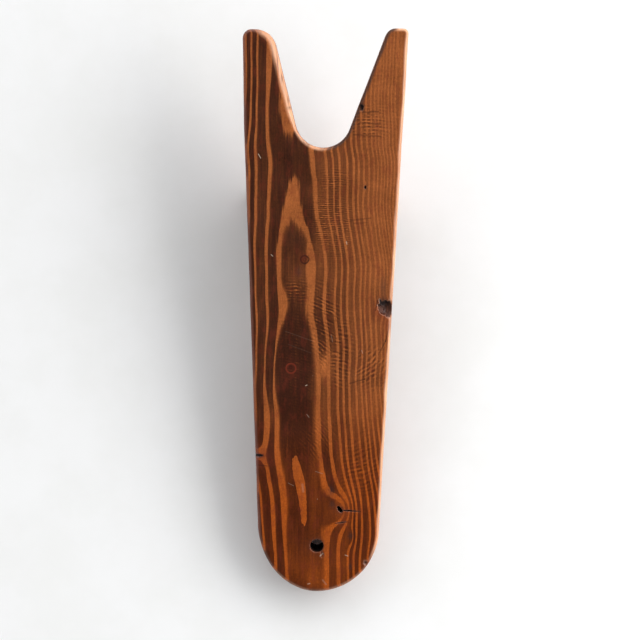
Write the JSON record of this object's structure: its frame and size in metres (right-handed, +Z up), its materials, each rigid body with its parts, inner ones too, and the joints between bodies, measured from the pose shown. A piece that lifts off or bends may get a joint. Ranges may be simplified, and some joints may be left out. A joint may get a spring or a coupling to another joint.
{
  "type": "wooden boot jack",
  "caption": "Tapered stained pine board with a heel notch at one end and a hanging hole in its rounded tail, raised on a screwed cross cleat.",
  "frame": {"origin": "middle of the footprint on the floor, with the jack standing on its tail and cleat", "axes": "+Z up from the floor; +Y from the rounded tail towards the fork; +X to the right seen from the tail"},
  "size_m": [0.1108, 0.389, 0.0722],
  "materials": {
    "board_wood": "dark stained pine, worn satin varnish",
    "cleat_wood": "stained pine, thin satin varnish, scuffed on the sole",
    "screw_steel": "dull zinc plated steel with a little tarnish"
  },
  "bodies": {
    "root": {"foot_board": "board_wood", "cleat": "cleat_wood", "screw_left": "screw_steel", "screw_right": "screw_steel"}
  },
  "joints": []
}
